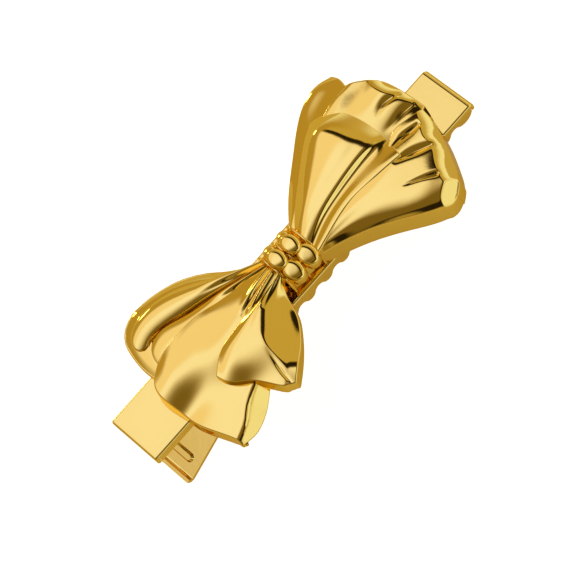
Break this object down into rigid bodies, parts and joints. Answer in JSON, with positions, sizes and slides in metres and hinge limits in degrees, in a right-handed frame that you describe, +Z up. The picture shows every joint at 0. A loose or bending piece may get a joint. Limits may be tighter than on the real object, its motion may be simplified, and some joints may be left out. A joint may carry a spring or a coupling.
{
  "type": "hair clip",
  "caption": "Flat sprung hair clip with two pressed metal arms, a hidden hinge and a cast ribbon bow along the top arm.",
  "frame": {"origin": "centre of the bounding box at the surface the clip lies on", "axes": "+X along the clip from the thumb levers to the nose, +Z up from the surface it lies on, +Y to the left"},
  "size_m": [0.0602, 0.0254, 0.0146],
  "materials": {
    "plated_strip": "mirror polished",
    "plated_spring": "polished",
    "plated_casting": "mirror polished",
    "solder": "satin"
  },
  "bodies": {
    "lower": {"lower_arm": "plated_strip", "hinge_pin": "plated_strip", "leaf_spring": "plated_spring"},
    "upper": {"upper_arm": "plated_strip", "bow_loop": "plated_casting", "bow_tails": "plated_casting", "bow_knot": "plated_casting", "solder_fillets": "solder"}
  },
  "joints": [
    {"name": "jaw_hinge", "type": "hinge", "parent": "lower", "child": "upper", "pos_m": [-0.00844, 0.00035, 0.00691], "axis": [0, -1, 0], "range_deg": [0, 28], "stiffness_Nm_per_rad": 0.15, "springref_deg": -28.65, "deforming": ["leaf_spring"]}
  ]
}
